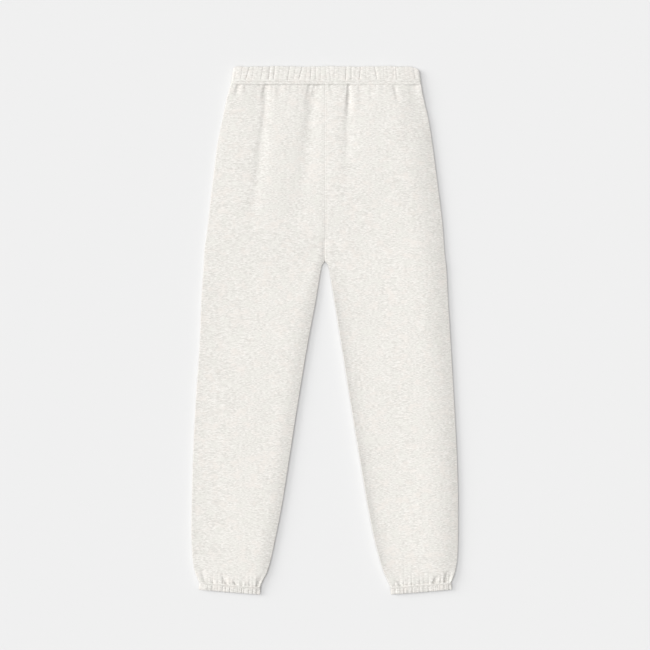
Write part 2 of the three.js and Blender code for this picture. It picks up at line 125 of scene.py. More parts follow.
# Troughs in the upper cloth, from one place to another where they have faded out:
# across, down, to across, to down, width, depth
BACK_FOLDS = (
    (-174, 40, -178, 66, 4, 2.0),
    (-156, 40, -160, 63, 4, 0.6),
    (-119, 38, -127, 84, 3.6, 1.9),
    (-117, 60, -148, 330, 5, 1.2),
    (-90, 38, -92, 74, 4, 0.8),
    (-67, 40, -69, 62, 4, 0.5),
    (-31, 38, -39, 90, 3.6, 1.5),
    (-26, 60, -46, 225, 7, 1.1),
    (-20, 40, -22, 98, 6, 1.1),
    (-13, 40, -13, 60, 3, 0.6),
    (10, 40, 17, 64, 3, 0.9),
    (47, 38, 45, 104, 2.6, 2.6),
    (47, 60, 41, 225, 5, 0.9),
    (73, 40, 71, 108, 6, 0.8),
    (92, 42, 90, 75, 5, 0.6),
    (116, 40, 114, 62, 4, 0.6),
    (138, 40, 146, 80, 3.2, 1.3),
    (174, 40, 187, 148, 10, 1.6),
    (-239, 1028, -248, 998, 4, 1.4),
    (-225, 1030, -229, 1016, 3, 1.4),
    (-196, 1032, -207, 1009, 3, 2.7),
    (-176, 1034, -184, 1018, 3, 2.7),
    (-167, 1034, -169, 1018, 2.5, 1.6),
    (-157, 1036, -159, 1024, 3, 2.0),
    (-147, 1038, -152, 1020, 3.5, 1.4),
    (-138, 1039, -124, 1006, 3.6, 4.7),
    (133, 1039, 124, 1022, 4, 1.4),
    (154, 1036, 141, 1011, 3.4, 2.5),
    (168, 1035, 157, 1017, 3, 1.4),
    (192, 1034, 190, 1020, 3, 1.4),
    (200, 1034, 200, 1019, 3, 1.4),
    (216, 1032, 223, 1015, 3, 4.0),
    (230, 1032, 232, 1018, 3, 1.4),
    (240, 1031, 244, 1006, 3.2, 4.7),
    (249, 1030, 252, 1007, 2.8, 3.6),
)
FRONT_FOLDS = (
    (-150, 38, -160, 120, 6, 1.0),
    (-108, 38, -112, 180, 7, 1.2),
    (-62, 38, -66, 110, 5, 1.0),
    (-24, 38, -28, 150, 6, 1.0),
    (30, 38, 33, 140, 6, 1.1),
    (70, 38, 76, 190, 7, 1.2),
    (118, 38, 122, 110, 5, 1.0),
    (158, 38, 166, 130, 6, 0.9),
    (-220, 1033, -226, 1008, 4, 1.0),
    (-186, 1036, -190, 1010, 4, 1.2),
    (-152, 1039, -148, 1012, 4, 1.2),
    (150, 1039, 146, 1012, 4, 1.2),
    (184, 1036, 188, 1010, 4, 1.2),
    (222, 1033, 228, 1008, 4, 1.0),
)
# Broad valleys between loose swells of the cloth: across, down, to across, to down, how far the cloth
# takes to rise on the left and on the right, and depth
BACK_VALLEYS = (
    (-117, 40, -148, 330, 84, 66, 1.9),
    (-20, 40, -54, 330, 76, 100, 3.2),
    (47, 40, 41, 240, 28, 56, 1.4),
    (158, 40, 168, 200, 30, 40, 0.9),
)
FOLD_SIDES = (0.8, 1.52)  # the widths of a trough's left and right side, as shares of its own width
FOLD_SPREAD = 1.5  # how much wider a trough's end is, as a share, where it runs FOLD_RUN or more
FOLD_RUN = 120
FOLD_LIP = 0.12  # the cloth swells beside a trough by this share of its depth
VALLEY_BOTTOM = 0.04  # the level bottom of a broad valley, as a share of its sides
# A broad valley deepens between two distances from its upper end, and ends between two shares of its run.
VALLEY_START, VALLEY_END = (-40, 20), (0.5, 1.2)
FOLD_HOLD = (35, 41, 5)  # all folds grow between two distances down, and fade over the last one at the hem

# Slow waves of cloth that lies loosely: length across and down, where they start, height
WAVES = ((37, 61, 0.7, 0.14), (-59, 83, 2.1, 0.14), (23, -109, 4.0, 0.098))

# Valleys between gathers: across, how far the lower end lies beside the upper one, depth
BAND_BACK_GATHERS = (
    (-182, 0, 0.5), (-171, 0, 0.6), (-159, -6, 0.9), (-148, 0, 0.4), (-138, 0, 0.3), (-130, -3, 0.6),
    (-115, 0, 1.0), (-105, 0, 1.0), (-95, -2, 0.4), (-86, 1, 0.3), (-76, -3, 0.8), (-64, -3, 0.5),
    (-52, -7, 1.0), (-40, -3, 0.5), (-31, 0, 0.8), (-21, 0, 0.7), (-11, 0, 0.5), (0, 4, 0.5),
    (8, 4, 0.5), (17, -2, 0.5), (26, 0, 0.3), (40, -2, 1.0), (51, 0, 1.0), (59, -3, 0.3),
    (68, -5, 0.9), (81, 0, 0.5), (90, 2, 0.3), (101, 5, 1.0), (110, 2, 0.3), (117, 0, 0.5),
    (124, 0, 0.4), (136, -4, 0.6), (142, 0, 0.6), (150, 0, 0.3), (160, 0, 0.3), (169, 1, 0.25),
    (178, 1, 0.45),
)  # fmt: skip
BAND_FRONT_GATHERS = (
    (-172, 3, 0.6), (-158, -2, 0.5), (-146, 1, 0.8), (-133, 4, 0.6), (-122, 0, 0.4), (-109, -3, 0.9),
    (-95, 1, 0.6), (-84, 2, 0.5), (-70, -4, 0.8), (-57, 0, 0.5), (-46, 3, 0.7), (-34, 0, 0.4),
    (-21, -2, 0.8), (-9, 1, 0.5), (6, 3, 0.7), (19, -1, 0.5), (31, 2, 0.8), (45, 0, 0.5),
    (58, -3, 0.7), (71, 2, 0.5), (83, 0, 0.9), (97, -3, 0.5), (110, 1, 0.6), (122, 3, 0.8),
    (136, -2, 0.5), (149, 0, 0.7), (163, 2, 0.5), (177, 0, 0.6),
)  # fmt: skip
LEFT_CUFF_GATHERS = (
    (-52, 0, 0.5), (-43, 0, 0.8), (-34, 0, 0.9), (-24, -1, 0.6), (-14, 0, 1.1), (-7, 0, 0.5),
    (1, 0, 0.9), (10, -1, 0.7), (16, 0, 0.6), (25, 0, 1.0), (32, 0, 0.5), (39, 0, 1.1),
    (47, 1, 0.8), (54, 0, 1.2),
)  # fmt: skip
RIGHT_CUFF_GATHERS = (
    (-50, 1, 0.9), (-42, 1, 0.6), (-34, 1, 1.0), (-25, 1, 0.7), (-18, 1, 1.1), (-11, 0, 0.5),
    (-3, 0, 0.9), (5, 0, 0.8), (15, 0, 1.1), (25, -1, 0.5), (33, 0, 0.9), (39, 0, 0.7),
    (46, 0, 1.1), (55, 0, 0.9),
)  # fmt: skip
UNDER_CUFF_GATHERS = (
    (-50, 1, 0.6), (-41, 0, 0.8), (-30, -1, 0.6), (-20, 0, 0.8), (-11, 1, 0.6), (-1, 0, 0.8),
    (9, -1, 0.6), (19, 0, 0.9), (29, 1, 0.6), (38, 0, 0.8), (48, -1, 0.6),
)  # fmt: skip

GATHER_CONTRAST = 1.5  # more than 1 makes the faint valleys between gathers fainter
GATHER_LEAN = 1.4  # more than 1 moves the ridges to the right, so a valley's left side is steeper
GATHER_ROUND = 0.34  # less makes the ridges broader and the valleys narrower
GATHER_END = 8  # how far past its last valleys a row of gathers fades out

# Puckers that gathers send into the back panels: depth, how far down they start to fade, and how far up
# the gathers' slant they follow it, as a share
WAIST_PUCKERS = (1.6, 38, 0.3)
HEM_PUCKERS = (2.3, HEM - 4, 1.0)
PUCKER_REACH = 9  # how soon they fade

STITCH = 3.0  # from one stitch to the next
THREAD = 0.5
HALF_STITCH = (0.4 * STITCH, THREAD / 2, 0.4 * THREAD)  # half a stitch's length, width and thickness
CASING_ROW = 1.6  # from the seam of a casing to the row of stitches in it
WAIST_ROW = 38.9  # the row of stitches below the waist seam
HEM_ROW = 3.6  # from the hem seam up to the row of stitches in the leg
CENTRE_ROW = 3.2  # from the centre seam to the row of stitches on each side of it
CENTRE_ROW_TOP, CENTRE_ROW_FOOT = 42, CROTCH - 30
ROW_WIDTH = 0.9  # of the groove that a row of stitches makes in a panel
WAIST_ROW_BITE, HEM_ROW_BITE = 0.9, 1.0  # how deep it is
HEM_SEAM_BITE = (2.0, 0.1)  # the width and depth of the hem seam's own groove
# How far the rows stop short of the centre seam and the side seams, and of the ends of a hem
WAIST_ROW_ENDS, HEM_ROW_ENDS = (3, 6), 7

# Grooves of the centre seam and of the stitches beside it: distance from the seam, width, depth
BACK_SEAM = ((0, 1.3, 0.32), (0, 8, 0.15), (CENTRE_ROW, ROW_WIDTH, 0.2))
FRONT_SEAM = ((0, 1.6, 0.9), (CENTRE_ROW, ROW_WIDTH, 0.3))
# How the seam tucks in above the crotch on each side of it: width, depth
CROTCH_TUCK = {"left": (6, 2.2), "right": (1.5, 0.3)}
CROTCH_TUCK_RUN = (322, CROTCH - 4)
UNDER_RELIEF = 0.9  # the underside's relief, as a share of the upper side's


def place(across, down, height):
    """Points of the garment in the frame, in metres."""
    return np.column_stack(
        (SEAM_X + np.asarray(across) * MM, TOP_Y - np.asarray(down) * MM, np.asarray(height) * MM)
    )


def smooth(value, low, high):
    """0 up to low, 1 from high, and an even turn between them."""
    share = np.clip((value - low) / (high - low), 0, 1)
    return share * share * (3 - 2 * share)


def bell(offset, width):
    """1 at no offset, and soon nothing past the width on either side."""
    return np.exp(-((offset / width) ** 2))


def outline(name, down):
    """A column of the outline at distances down the garment, on a curve that never overshoots."""
    at, values = OUTLINE[:, 0], OUTLINE[:, OUTLINE_COLUMNS.index(name)]
    steps = np.diff(values) / np.diff(at)
    both = steps[:-1] * steps[1:]
    turn = np.where(both > 0, 2 * both / np.where(both > 0, steps[:-1] + steps[1:], 1), 0)
    tangents = np.concatenate((steps[:1], turn, steps[-1:]))
    down = np.clip(down, at[0], at[-1])
    i = np.clip(np.searchsorted(at, down, side="right") - 1, 0, len(at) - 2)
    span = at[i + 1] - at[i]
    t = (down - at[i]) / span
    ease = t * t * (3 - 2 * t)
    pull = t * (1 - t) ** 2 * tangents[i] + t * t * (t - 1) * tangents[i + 1]
    return values[i] * (1 - ease) + values[i + 1] * ease + pull * span


def leg_section(side, down):
    """Where a leg's section starts at the outer edge, its direction towards the inner edge, and its width."""
    hand = "left" if side < 0 else "right"
    outer = side * outline(f"outer_{hand}", down)
    inner = side * np.maximum(outline(f"inner_{hand}", down), INNER_LEAST)
    drop = outline("drop", down)
    width = np.hypot(inner - outer, drop)
    return outer, (inner - outer) / width, drop / width, width


def trough(across, down, folds):
    """The height of the folds at a place, zero or below in a trough and a little above beside it."""
    height = np.zeros_like(across)
    for x, y, to_x, to_y, width, depth in folds:
        run_x, run_y = to_x - x, to_y - y
        share = ((across - x) * run_x + (down - y) * run_y) / (run_x**2 + run_y**2)
        share = np.clip(share, 0, 1)
        offset = across - x - share * run_x
        aside = np.hypot(offset, down - y - share * run_y)
        wide = width * (1 + FOLD_SPREAD * share * min(math.hypot(run_x, run_y) / FOLD_RUN, 1))
        wide = wide * np.where(offset > 0, FOLD_SIDES[1], FOLD_SIDES[0])
        fade = depth * (1 - share * share)
        height += fade * (FOLD_LIP * bell(aside - 2 * wide, wide) - bell(aside, wide))
    return height


def valley(across, down, valleys):
    """The height of broad valleys with a narrow bottom."""
    height = np.zeros_like(across)
    for x, y, to_x, to_y, left, right, depth in valleys:
        share = (down - y) / (to_y - y)
        aside = across - x - np.clip(share, 0, 1) * (to_x - x)
        reach = np.clip(1 - np.where(aside < 0, -aside / left, aside / right), 0, 1)
        deep = depth * np.minimum(reach, 1 - VALLEY_BOTTOM) ** 2
        start, end = (y + value for value in VALLEY_START)
        height -= deep * smooth(down, start, end) * (1 - smooth(share, *VALLEY_END))
    return height


def drop_to_edge(distance, edge, down):
    """How far the cloth has fallen at a distance from its edge, as a share of the whole loft."""
    at, *columns = zip(*EDGES[edge])
    roll, slope, share = (np.interp(down, at, column) for column in columns)
    near = np.clip(1 - distance / roll, 0, 1)
    far = np.clip(1 - distance / slope, 0, 1)
    return (1 - share) * (1 - np.sqrt(1 - near**2)) + share * far**EDGE_POWER


def undulation(across, down):
    """The height of the slow waves."""
    return sum(height * np.sin(across / x + down / y + start) for x, y, start, height in WAVES)


def gathering(table, across, share):
    """0 on the ridges of the gathers and about -1 in the deepest valleys between them. share is how far
    up the gathers a place is, which moves it along their slant."""
    at, slant, depth = (np.array(column, float) for column in zip(*table))
    across = across - np.interp(across, at, slant) * (0.5 - share)
    i = np.clip(np.searchsorted(at, across) - 1, 0, len(at) - 2)
    between = np.clip((across - at[i]) / (at[i + 1] - at[i]), 0, 1)
    fall = (depth[i] * (1 - between) + depth[i + 1] * between) ** GATHER_CONTRAST
    between = between**GATHER_LEAN
    ridge = np.power(4 * between * (1 - between), GATHER_ROUND)
    ends = smooth(across, at[0] - GATHER_END, at[0]) * (1 - smooth(across, at[-1], at[-1] + GATHER_END))
    return -fall * (1 - ridge) * ends


def row_bites(down):
    """The height of the grooves that the stitches beside the waist seam and the hem seam make."""
    waist = -WAIST_ROW_BITE * bell(down - WAIST_ROW, ROW_WIDTH)
    hem = -HEM_ROW_BITE * bell(down - (HEM - HEM_ROW), ROW_WIDTH)
    seam_width, seam_bite = HEM_SEAM_BITE
    return waist + hem - seam_bite * bell(down - HEM, seam_width)


def grooves(inside, rows):
    """The depth of grooves along the centre seam, at a distance from it."""
    return sum(depth * bell(inside - at, width) for at, width, depth in rows)


def free_of_edges(distance, inside, roll):
    """0 at a section's outer edge and, below the crotch, at its inner edge, and 1 away from them."""
    return smooth(distance, *EDGE_HOLD) * (1 - roll * (1 - smooth(inside, *EDGE_HOLD)))


def puckers(side, down, across):
    """The height of the puckers beside the gathered waistband and hem."""
    depth, start, share = WAIST_PUCKERS
    waist = depth * gathering(BAND_BACK_GATHERS, across, share)
    waist = waist * np.exp(-np.maximum(down - start, 0) / PUCKER_REACH)
    depth, start, share = HEM_PUCKERS
    centre = sum(end[0] for end in hem_line(side)) / 2
    hem = depth * gathering(LEFT_CUFF_GATHERS if side < 0 else RIGHT_CUFF_GATHERS, across - centre, share)
    return waist + hem * np.exp(-np.maximum(start - down, 0) / PUCKER_REACH)


def back_height(side, distance, down, across):
    """Height of the upper cloth at a distance in from the outer edge of its section."""
    hand = "left" if side < 0 else "right"
    outer, inner = f"outer_{hand}", f"inner_{hand}"
    width = leg_section(side, down)[3]
    inside = np.maximum(width - distance, 0)
    roll = smooth(down, *CENTRE_SEAM_END)
    lean = smooth(distance, 0, width)
    loft = (1 - lean) * np.interp(down, *zip(*LOFT[outer])) + lean * np.interp(down, *zip(*LOFT[inner]))
    along = smooth(down, *RIDGE_START) * (1 - smooth(down, *RIDGE_END))
    for edge, gap, weight in ((outer, distance, 1), (inner, inside, roll)):
        ridge, reach = RIDGES[edge]
        loft = loft + weight * ridge * np.exp(-gap / reach) * along
    edges = drop_to_edge(distance, outer, down) + roll * drop_to_edge(inside, inner, down)
    tuck_width, tuck = CROTCH_TUCK[hand]
    seam = grooves(inside, BACK_SEAM) + smooth(down, *CROTCH_TUCK_RUN) * tuck * bell(inside, tuck_width)
    folds = trough(across, down, BACK_FOLDS) + valley(across, down, BACK_VALLEYS)
    folds = folds + puckers(side, down, across) + undulation(across, down)
    low, high, end = FOLD_HOLD
    folds = folds * smooth(down, low, high) * smooth(HEM - down, 0, end)
    surface = SIDE_SEAM_HEIGHT + CLEAR + loft * (1 - np.minimum(edges, 1)) - (1 - roll) * seam
    return surface + free_of_edges(distance, inside, roll) * (folds + row_bites(down))


def front_height(side, distance, down, across):
    """Height of the lower cloth's underside, flat where it rests and rolled up at its edges."""
    inside = np.maximum(leg_section(side, down)[3] - distance, 0)
    roll = smooth(down, *CENTRE_SEAM_END)
    rise = SIDE_SEAM_HEIGHT - CLEAR
    rolled = 0
    for gap, weight in ((distance, 1), (inside, roll)):
        near = np.clip(1 - gap / rise, 0, 1)
        rolled = rolled + weight * rise * (1 - np.sqrt(1 - near**2))
    seam = (1 - roll) * grooves(inside, FRONT_SEAM)
    folds = np.minimum(trough(across, down, FRONT_FOLDS), 0) + row_bites(down)
    return np.minimum(rolled, rise) + seam - free_of_edges(distance, inside, roll) * UNDER_RELIEF * folds


def sheet_of_cloth(name, columns, rows, shape, facing, thickness=CLOTH):
    """A sheet whose points go where shape(u, v) puts them, with its wall behind it. It faces up (1) or
    down (-1)."""
    bm = bmesh.new()
    bmesh.ops.create_grid(bm, x_segments=columns, y_segments=rows, size=0.5)
    flat = np.array([v.co[:2] for v in bm.verts]) + 0.5
    levels = np.concatenate(([0], np.linspace(RIM, 1 - RIM, rows - 1), [1]))
    along = np.interp(flat[:, 1], np.linspace(0, 1, rows + 1), levels)
    for vert, point in zip(bm.verts, shape(flat[:, 0], along)):
        vert.co = point
    bm.normal_update()
    if sum(face.normal.z * face.calc_area() for face in bm.faces) * facing < 0:
        bmesh.ops.reverse_faces(bm, faces=bm.faces[:])
    piece = piece_of(name, bm)
    wall = piece.modifiers.new("wall", "SOLIDIFY")
    wall.thickness = thickness * MM
    wall.offset = -1
    return piece


def piece_of(name, bm):
    """A piece of the garment with the bmesh's shape, which the call uses up."""
    mesh = bpy.data.meshes.new(name)
    for face in bm.faces:
        face.smooth = True
    bm.to_mesh(mesh)
    bm.free()
    piece = bpy.data.objects.new(name, mesh)
    bpy.context.scene.collection.objects.link(piece)
    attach(piece, "root")
    return piece


def spaced(share, edge_share, edge_width, width):
    """Distance from the outer edge at shares of the columns, close together in both rolled edges."""
    start = edge_width * (1 - np.cos(np.clip(share / edge_share, 0, 1) * math.pi / 2))
    end = edge_width * (1 - np.cos(np.clip((1 - share) / edge_share, 0, 1) * math.pi / 2))
    middle = np.clip((share - edge_share) / (1 - 2 * edge_share), 0, 1)
    return start + middle * (width - 2 * edge_width) + edge_width - end


def panel(name, side, facing, columns, rows, height):
    """One panel of a leg. rows are (share of the rows, down)."""

    def shape(u, v):
        down = np.interp(1 - v, *zip(*rows))
        start, run_x, run_down, width = leg_section(side, down)
        distance = spaced(u, *EDGE_COLUMNS, width)
        across = start + distance * run_x
        return place(across, down + distance * run_down, height(side, distance, down, across))

    return sheet_of_cloth(name, *columns, shape, facing)


PANEL_END = HEM - 0.1
BACK_ROWS = (
    (0, BAND_HEIGHT), (0.06, 44), (0.24, 112), (0.42, 322), (0.5, 400), (0.82, 985), (0.94, 1022),
    (1, PANEL_END),
)  # fmt: skip
FRONT_ROWS = ((0, BAND_HEIGHT), (0.2, 112), (0.42, 322), (0.52, 400), (0.85, 985), (1, PANEL_END))

CASING_ROWS = (0.64, 0.2)  # the shares of a casing's rows in its face and in its folded edge
CASING_FACE_POWER = 1.3  # more than 1 puts the face's rows closer together at the seam
CASING_CLOTH = 0.18  # the thickness of its cloth, as a share of its wall
INNER_EDGE = 1  # how far above the seam its hidden layer ends
FACE_GATHERS = (0.1, 0.3)  # the gathers grow between these shares of its height
EDGE_GATHERS = 0.35  # how much of them is left on the folded edge
FINER = 1.9  # the finer gathers stand this many times as close
NOTCH, NOTCH_START = 0.5, 0.4  # the edge's notch in a valley, as a share of its depth, and where it starts
TUCKS, TUCK_DEPTH, TUCK_PLACE = 1.7, 0.5, (0.16, 0.08)  # small tucks: how close, how deep, place and width
CASING_BITE, CASING_BITE_WIDTH = 1.1, 0.8  # of the groove that the casing's stitches make
BETWEEN_HOLES = 0.35  # its depth between two holes, as a share of that at a hole


class Casing:
    """One half of a gathered casing of folded cloth, along its seam from -half to half.
    size is its height, its wall, the radius that it turns round at its ends, the depth of its gathers,
    the share of that depth that finer gathers have, and the share of its thickness lost at its folded
    edge. fall is how far its face sinks towards its left and right ends: (share, width) of each."""

    def __init__(self, gathers, half, size, fall, to_frame, facing):
        self.gathers, self.half, self.fall, self.to_frame, self.facing = gathers, half, fall, to_frame, facing
        self.tall, self.wall, self.radius, self.depth, self.fine, self.thinning = size
        self.run = 2 * (half - self.radius)

    def points(self, way, outside, over, inside):
        """Points of the casing: way from its left end, and the shares of its face, of its folded edge
        and of its hidden inner layer that have been passed."""
        tall, wall, radius, run = self.tall, self.wall, self.radius, self.run
        straight = np.clip(way, 0, run) - run / 2
        angle = (way - np.clip(way, 0, run)) / radius
        upwards, sidewards = np.cos(angle), np.sin(angle)
        body = tall - wall / 2
        up = outside * body + wall / 2 * np.sin(over * math.pi) - inside * (body - INNER_EDGE)
        out = wall / 2 * (1 + np.cos(over * math.pi))
        share = up / tall
        relief, notch = self.relief(straight, up, over, inside, upwards)
        reach = radius - CLEAR - (wall - out)
        ends = ((straight + run / 2, self.fall[0]), (run / 2 - straight, self.fall[1]))
        sunk = sum(amount * np.clip(1 - gap / width, 0, 1) ** EDGE_POWER for gap, (amount, width) in ends)
        thinner = 1 - self.thinning * np.clip(share, 0, 1)
        height = CLEAR + (reach * (1 - sunk) + relief) * thinner * upwards
        return self.to_frame(straight + sidewards * reach, up + notch, radius + self.facing * height)

    def relief(self, straight, up, over, inside, upwards):
        """What gathers and stitches add to the face's height, and what valleys add to its edge's. Both are
        zero or below."""
        share = up / self.tall
        finer = (straight * FINER + self.half) % (2 * self.half) - self.half
        valleys = gathering(self.gathers, straight, share) + self.fine * gathering(self.gathers, finer, share)
        showing = (1 - over) * (smooth(share, *FACE_GATHERS) + over * (1 - inside) * EDGE_GATHERS)
        on_face = (over <= 0) * upwards
        holes = BETWEEN_HOLES + (1 - BETWEEN_HOLES) * np.square(np.sin(math.pi * straight / STITCH))
        row = CASING_BITE * bell(up - CASING_ROW, CASING_BITE_WIDTH) * holes
        place_of_tucks, tuck_width = TUCK_PLACE
        tucks = TUCK_DEPTH * bell(share - place_of_tucks, tuck_width)
        tucks = tucks * gathering(self.gathers, straight * TUCKS, share)
        relief = self.depth * valleys * showing * upwards + (tucks - row) * on_face
        return relief, NOTCH * self.depth * valleys * smooth(share, NOTCH_START, 1) * upwards

    def cloth(self, name, columns, rows):
        """The casing's folded cloth as one sheet."""
        turn = math.pi / 2 * self.radius
        face, fold = CASING_ROWS

        def shape(u, v):
            way = u * (self.run + 2 * turn) - turn
            outside = np.clip(v / face, 0, 1) ** CASING_FACE_POWER
            over = np.clip((v - face) / fold, 0, 1)
            inside = np.clip((v - face - fold) / (1 - face - fold), 0, 1)
            return self.points(way, outside, over, inside)

        return sheet_of_cloth(name, columns, rows, shape, self.facing, self.wall * CASING_CLOTH)

    def stitch_row(self):
        """The holes of the row of stitches beside the seam."""
        way = np.arange(STITCH, self.run, STITCH)
        nothing = np.zeros_like(way)
        return self.points(way, nothing + CASING_ROW / (self.tall - self.wall / 2), nothing, nothing)


BAND_LEFT, BAND_RIGHT = 188, 192  # from the centre seam to the ends of the waist seam
BAND_HALF = (BAND_LEFT + BAND_RIGHT) / 2
BAND_TAPER = (5, -4)  # how far to the right the top edge's left and right ends stand
BAND_CORNERS = ((9, 3.0), (20, 7.0))  # how its left and right corners round off: width, depth
BAND_RISE = 20  # the top edge is uneven down to this height
BAND_WAVES = ((17, 1.0, 0.45), (6.1, 0.0, 0.35))  # of that edge: length, where they start, height
BAND_DROP = 0.9  # how far the edge lies below the waistband's full height
# height, wall, radius of the ends, depth of the gathers, share of finer gathers, share of thickness lost
BAND_SIZE = (BAND_HEIGHT, 5.2, 5.8, 2.0, 0.0, 0.2)
BAND_FALL = ((0.08, 24), (0.42, 44))
CUFF_SIZE = (13.7, 4.6, 5.1, 2.1, 0.45, 0.52)
CUFF_FALL = ((0.25, 16), (0.3, 20))
CUFF_OVERLAP = 0.5  # how much longer a hem casing is than the leg's edge, at each end


def band_to_frame(across, up, height):
    """Places of the waistband, from places along its seam, up from it and above the surface."""
    centre = (BAND_RIGHT - BAND_LEFT) / 2
    share = up / BAND_HEIGHT
    taper = np.interp(across, (-BAND_HALF, BAND_HALF), BAND_TAPER) * share
    ends = zip((BAND_HALF + across, BAND_HALF - across), BAND_CORNERS)
    corners = sum(depth * np.clip(1 - gap / width, 0, 1) ** 2 for gap, (width, depth) in ends)
    waves = sum(rise * np.sin(across / length + start) for length, start, rise in BAND_WAVES)
    uneven = waves - BAND_DROP
    up = up - (corners - uneven * smooth(up, BAND_RISE, BAND_HEIGHT)) * np.clip(share, 0, 1) ** 2
    return place(across + centre + taper, BAND_HEIGHT - up, height)


def hem_line(side):
    """The left and right ends of a leg's hem seam: (across, down)."""
    start, run_x, run_down, width = (float(value) for value in leg_section(side, np.array(float(HEM))))
    ends = [(start, HEM), (start + run_x * width, HEM + run_down * width)]
    return sorted(ends)


def cuff_to_frame(side):
    """What band_to_frame does, for the hem casing of a leg, and half the length of that casing."""
    (left_x, left_down), (right_x, right_down) = hem_line(side)
    length = math.hypot(right_x - left_x, right_down - left_down)
    run_x, run_down = (right_x - left_x) / length, (right_down - left_down) / length
    centre_x, centre_down = (left_x + right_x) / 2, (left_down + right_down) / 2

    def to_frame(across, up, height):
        return place(
            centre_x + across * run_x - up * run_down,
            centre_down + across * run_down + up * run_x,
            height,
        )

    return to_frame, length / 2 + CUFF_OVERLAP


def stitches(name, rows):
    """Rows of stitches. Each row is its holes, from one end of the row to the other, in metres."""
    bm = bmesh.new()
    size = Matrix.Diagonal((*(half * MM for half in HALF_STITCH), 1))
    for row in rows:
        for start, end in zip(row[:-1], row[1:]):
            start, end = Vector(start), Vector(end)
            along = (end - start).normalized()
            turn = along.to_track_quat("X", "Z").to_matrix().to_4x4()
            where = Matrix.Translation((start + end) / 2)
            bmesh.ops.create_uvsphere(bm, u_segments=6, v_segments=4, radius=1, matrix=where @ turn @ size)
    piece = piece_of(name, bm)
    return piece


def fleece_pieces():
    """The four panels of the legs."""
    backs = {
        side: panel(name, side, 1, (150, 280), BACK_ROWS, back_height)
        for side, name in ((-1, "fleece_back_left"), (1, "fleece_back_right"))
    }
    fronts = {
        side: panel(name, side, -1, (90, 180), FRONT_ROWS, front_height)
        for side, name in ((-1, "fleece_front_left"), (1, "fleece_front_right"))
    }
    for side, hand in ((-1, "left"), (1, "right")):
        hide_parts(f"back_panel_{hand}")
        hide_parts(f"front_panel_{hand}")
    return [*backs.values(), *fronts.values()]


def waistband_pieces():
    """The two halves of the waistband, and the holes of their stitches."""
    back = Casing(BAND_BACK_GATHERS, BAND_HALF, BAND_SIZE, BAND_FALL, band_to_frame, 1)
    front = Casing(BAND_FRONT_GATHERS, BAND_HALF, BAND_SIZE, BAND_FALL, band_to_frame, -1)
    made = [back.cloth("waistband_casing_back", 640, 60), front.cloth("waistband_casing_front", 400, 40)]
    nodes, lower = ("waistband_back", "waistband_front"), ("waistband_casing_front", "floor")
    for cloth, replaced, under in zip(made, nodes, lower):
        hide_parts(replaced)
    return made, {"back": [back.stitch_row()], "front": [front.stitch_row()]}


def cuff_pieces():
    """The two halves of each hem casing, and the holes of their stitches."""
    made, rows = [], {"back": [], "front": []}
    for side, hand, gathers in ((-1, "left", LEFT_CUFF_GATHERS), (1, "right", RIGHT_CUFF_GATHERS)):
        to_frame, half = cuff_to_frame(side)
        back = Casing(gathers, half, CUFF_SIZE, CUFF_FALL, to_frame, 1)
        front = Casing(UNDER_CUFF_GATHERS, half, CUFF_SIZE, CUFF_FALL, to_frame, -1)
        cloths = [
            back.cloth(f"hem_casing_{hand}_back", 300, 44),
            front.cloth(f"hem_casing_{hand}_front", 160, 30),
        ]
        for cloth, which, under in zip(cloths, ("back", "front"), (f"hem_casing_{hand}_front", "floor")):
            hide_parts(f"cuff_{hand}_{which}")
        rows["back"].append(back.stitch_row())
        rows["front"].append(front.stitch_row())
        made += cloths
    return made, rows


def node(tree, kind, values=None, **settings):
    """A new node with values on its sockets and settings of its own."""
    made = tree.nodes.new(kind)
    for name, value in settings.items():
        setattr(made, name, value)
    for socket, value in (values or {}).items():
        made.inputs[socket].default_value = value
    return made


